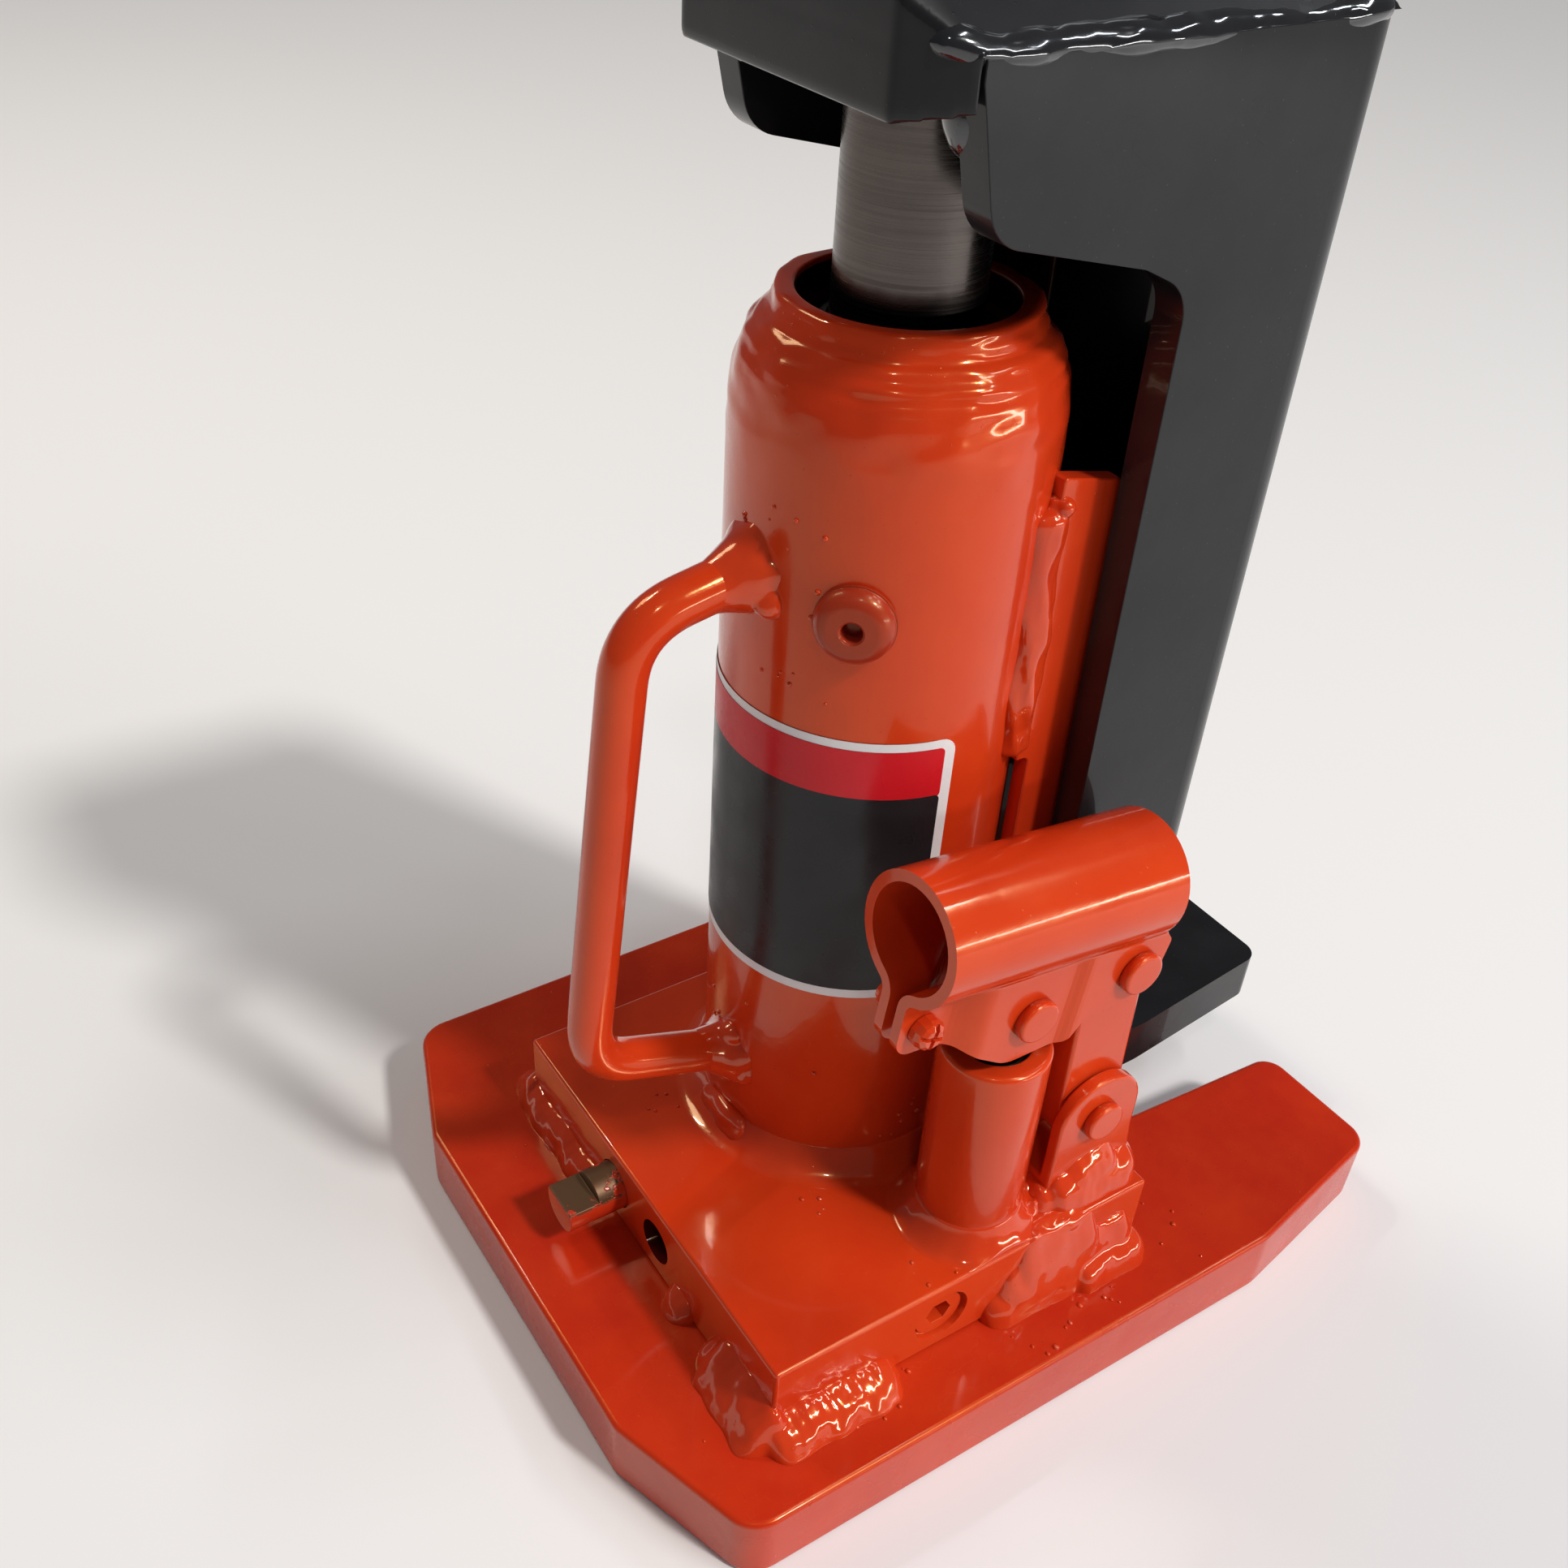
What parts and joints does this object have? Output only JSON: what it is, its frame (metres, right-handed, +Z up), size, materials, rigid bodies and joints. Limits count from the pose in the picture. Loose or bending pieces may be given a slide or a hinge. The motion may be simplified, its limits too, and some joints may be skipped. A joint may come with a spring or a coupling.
{
  "type": "toe jack",
  "caption": "Hydraulic toe jack: a bottle jack on a forked base plate, lifting a claw with a low toe and a top head.",
  "frame": {"origin": "on the ram's axis at the underside of the base plate", "axes": "+Z up along the ram, +X towards the toe, +Y away from the pump"},
  "size_m": [0.2185, 0.172, 0.303],
  "materials": {
    "orange_enamel": "glossy orange-red enamel with orange peel and runs",
    "black_enamel": "glossy black enamel",
    "chipped_enamel": "orange enamel worn through to bare steel at the notch",
    "ground_steel": "ground and polished steel",
    "dark_steel": "oiled dark steel",
    "brass": "machined brass",
    "copper": "soft copper sheet",
    "label_vinyl": "printed vinyl sticker with a black panel, a red band and a white border, with no lettering",
    "rubber": "black moulded rubber"
  },
  "bodies": {
    "root": {"base_plate": "orange_enamel", "base_block": "orange_enamel", "reservoir_tank": "orange_enamel", "pressure_cylinder": "dark_steel", "cylinder_gasket": "copper", "gland_nut": "dark_steel", "gland_seal": "rubber", "rod_seal": "rubber", "ram_wiper": "rubber", "filler_plug": "rubber", "label": "label_vinyl", "carry_handle": "orange_enamel", "guide_bar_near": "orange_enamel", "guide_bar_far": "orange_enamel", "pump_cylinder": "orange_enamel", "pump_seal": "rubber", "pump_wiper": "rubber", "link_lug": "orange_enamel", "link_lower_pin": "orange_enamel", "link_lower_pin_clip": "dark_steel", "screw_plug": "orange_enamel", "delivery_seat": "brass", "delivery_ball": "ground_steel", "delivery_spring": "dark_steel", "suction_ball": "ground_steel", "release_ball": "ground_steel", "safety_screw": "dark_steel", "safety_spring": "dark_steel", "safety_ball": "ground_steel"},
    "lift": {"ram": "ground_steel", "piston": "dark_steel", "piston_seal": "rubber", "piston_nut": "dark_steel", "claw_arm": "black_enamel", "claw_head": "black_enamel", "head_bolt": "dark_steel", "toe": "black_enamel"},
    "link": {"link": "orange_enamel"},
    "handle": {"handle_socket": "orange_enamel", "clamp_screw": "orange_enamel", "clamp_nut": "orange_enamel", "plunger_pin": "orange_enamel", "plunger_pin_clip": "dark_steel", "link_upper_pin": "orange_enamel", "link_upper_pin_clip": "dark_steel"},
    "plunger": {"plunger": "ground_steel"},
    "valve": {"release_valve": "chipped_enamel", "release_seal": "rubber"}
  },
  "joints": [
    {"name": "claw_lift", "type": "slide", "parent": "root", "child": "lift", "axis": [0, 0, 1], "range_m": [-0.0263, 0.0887]},
    {"name": "link_rock", "type": "hinge", "parent": "root", "child": "link", "pos_m": [0.0308, -0.0523, 0.065], "axis": [0, 1, 0], "range_deg": [-5.2, 0.6]},
    {"name": "handle_swing", "type": "hinge", "parent": "link", "child": "handle", "pos_m": [0.0295, -0.0523, 0.1122], "axis": [0, 1, 0], "range_deg": [-3.5, 46]},
    {"name": "plunger_stroke", "type": "slide", "parent": "root", "child": "plunger", "axis": [0, 0, 1], "range_m": [-0.0016, 0.0184]},
    {"name": "release_turn", "type": "hinge", "parent": "root", "child": "valve", "pos_m": [-0.0755, 0.0026, 0.0302], "axis": [-1, 0, 0], "range_deg": [0, 270]}
  ],
  "couplings": [
    {"joint": "link_rock", "follows": "handle_swing", "ratio": -0.106},
    {"joint": "plunger_stroke", "follows": "handle_swing", "m_per_rad": 0.0226}
  ]
}
